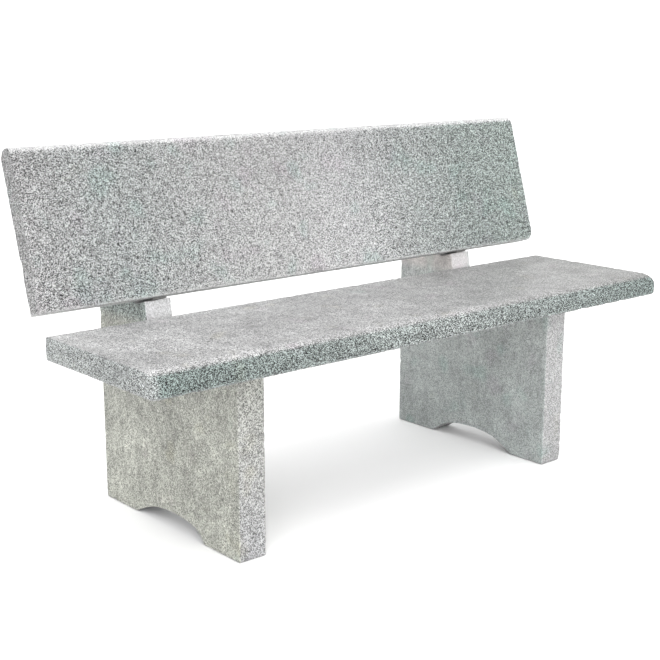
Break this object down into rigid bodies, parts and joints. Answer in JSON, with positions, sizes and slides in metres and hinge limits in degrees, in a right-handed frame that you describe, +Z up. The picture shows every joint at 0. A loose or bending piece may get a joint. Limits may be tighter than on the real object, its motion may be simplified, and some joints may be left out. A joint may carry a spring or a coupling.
{
  "type": "stone bench with backrest",
  "caption": "Granite garden bench: a rounded-front seat slab and a leaning backrest slab, carried by side slabs whose legs have arched feet.",
  "frame": {"origin": "on the ground, below the middle of the bench's box", "axes": "+X along the bench's length to the right as seen from the front, -Y towards the sitter's feet, +Z up"},
  "size_m": [1.5, 0.6, 0.8237],
  "materials": {
    "granite_seat": "grey granite, top face rubbed smooth, edges coarse",
    "granite_back": "grey granite, fine pointed face, coarse salt-and-pepper grain",
    "granite_side_left": "grey granite with a warm tint, sawn faces",
    "granite_side_right": "grey granite with a cool tint, sawn faces",
    "bed_mortar": "matte grey adhesive mortar",
    "pin_steel": "stainless steel bar, as drawn"
  },
  "bodies": {
    "root": {"seat_slab": "granite_seat", "back_slab": "granite_back", "side_slab_left": "granite_side_left", "side_slab_right": "granite_side_right", "seat_bed_left": "bed_mortar", "seat_bed_right": "bed_mortar", "back_bed_left": "bed_mortar", "back_bed_right": "bed_mortar", "ledge_bed_left": "bed_mortar", "ledge_bed_right": "bed_mortar", "seat_dowel_left_front": "pin_steel", "seat_dowel_left_rear": "pin_steel", "seat_dowel_right_front": "pin_steel", "seat_dowel_right_rear": "pin_steel", "back_dowel_left_lower": "pin_steel", "back_dowel_left_upper": "pin_steel", "back_dowel_right_lower": "pin_steel", "back_dowel_right_upper": "pin_steel"}
  },
  "joints": []
}
